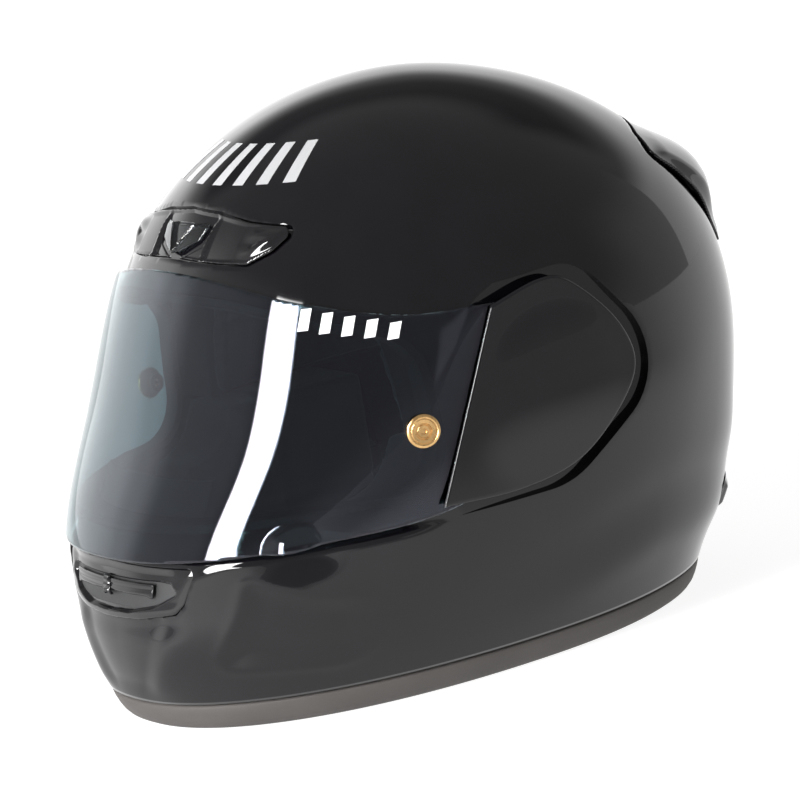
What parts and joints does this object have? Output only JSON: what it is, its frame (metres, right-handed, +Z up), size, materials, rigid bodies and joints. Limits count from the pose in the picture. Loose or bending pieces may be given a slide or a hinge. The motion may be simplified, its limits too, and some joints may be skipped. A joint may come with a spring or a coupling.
{
  "type": "motorcycle helmet",
  "caption": "Full-face motorcycle helmet with a gloss black shell, dark hinged visor, side covers, brow and chin vents, rear spoiler, padded liner and chin strap.",
  "frame": {"origin": "on the ground, under the middle of the helmet's length and width, with the rim standing flat", "axes": "+X is the wearer's left, -Y the way the wearer faces, +Z up"},
  "size_m": [0.2536, 0.3283, 0.2572],
  "materials": {
    "shell_paint": "gloss black lacquer over a composite shell",
    "rim_rubber": "matt extruded rubber",
    "seal_rubber": "matt black rubber",
    "foam": "black expanded polystyrene, beaded",
    "liner_fabric": "brushed knit over foam",
    "curtain_fabric": "thin woven fabric",
    "webbing": "woven polyester webbing",
    "vent_gloss": "moulded gloss black",
    "vent_smoke": "smoked clear moulding",
    "mesh_plastic": "fine moulded mesh",
    "base_plastic": "moulded nylon",
    "cover_gloss": "gloss black lacquer",
    "visor_smoke": "dark smoke polycarbonate, hard coated",
    "post_brass": "turned, gold anodised",
    "screw_steel": "zinc plated",
    "snap_steel": "plated press studs",
    "ring_steel": "welded wire, polished"
  },
  "bodies": {
    "shell": {"outer_shell": "shell_paint", "bottom_trim": "rim_rubber", "eyeport_gasket": "seal_rubber", "eps_liner": "foam", "crown_pad": "liner_fabric", "chin_bar_eps": "foam", "neck_roll": "liner_fabric", "cheek_pad_left": "liner_fabric", "cheek_pad_right": "liner_fabric", "cheek_pad_snaps": "snap_steel", "brow_vent_housing": "vent_gloss", "chin_vent_housing": "vent_gloss", "chin_vent_mesh": "mesh_plastic", "rear_spoiler": "shell_paint", "neck_vent": "vent_gloss", "pivot_base_left": "base_plastic", "pivot_base_right": "base_plastic", "base_screws": "screw_steel", "side_cover_left": "cover_gloss", "side_cover_right": "cover_gloss", "breath_guard": "seal_rubber", "chin_curtain": "curtain_fabric", "strap_left": "webbing", "strap_right": "webbing", "strap_pad_left": "liner_fabric", "strap_pad_right": "liner_fabric", "anchor_plates": "screw_steel", "anchor_rivets": "screw_steel", "strap_snap": "snap_steel"},
    "visor": {"visor": "visor_smoke", "tear_off_posts": "post_brass", "tear_off_nuts": "base_plastic"},
    "brow_vent": {"brow_vent_slider": "vent_smoke"},
    "chin_vent": {"chin_vent_slider": "vent_gloss"},
    "d_ring_lower": {"d_ring_lower": "ring_steel"},
    "d_ring_upper": {"d_ring_upper": "ring_steel"}
  },
  "joints": [
    {"name": "visor_hinge", "type": "hinge", "parent": "shell", "child": "visor", "pos_m": [0, 0, 0.13], "axis": [-1, 0, 0], "range_deg": [0, 40]},
    {"name": "brow_vent_slide", "type": "slide", "parent": "shell", "child": "brow_vent", "axis": [0, 0.6198, 0.7848], "range_m": [0, 0.004]},
    {"name": "chin_vent_slide", "type": "slide", "parent": "shell", "child": "chin_vent", "axis": [0, 0, -1], "range_m": [0, 0.002]},
    {"name": "d_ring_swing", "type": "hinge", "parent": "shell", "child": "d_ring_lower", "pos_m": [-0.044, 0.034, 0.0033], "axis": [0, -1, 0], "range_deg": [0, 70]},
    {"name": "d_ring_upper_swing", "type": "hinge", "parent": "shell", "child": "d_ring_upper", "pos_m": [-0.0484, 0.034, 0.0069], "axis": [0, -1, 0], "range_deg": [0, 70]}
  ],
  "couplings": [
    {"joint": "d_ring_upper_swing", "follows": "d_ring_swing", "ratio": 1}
  ]
}
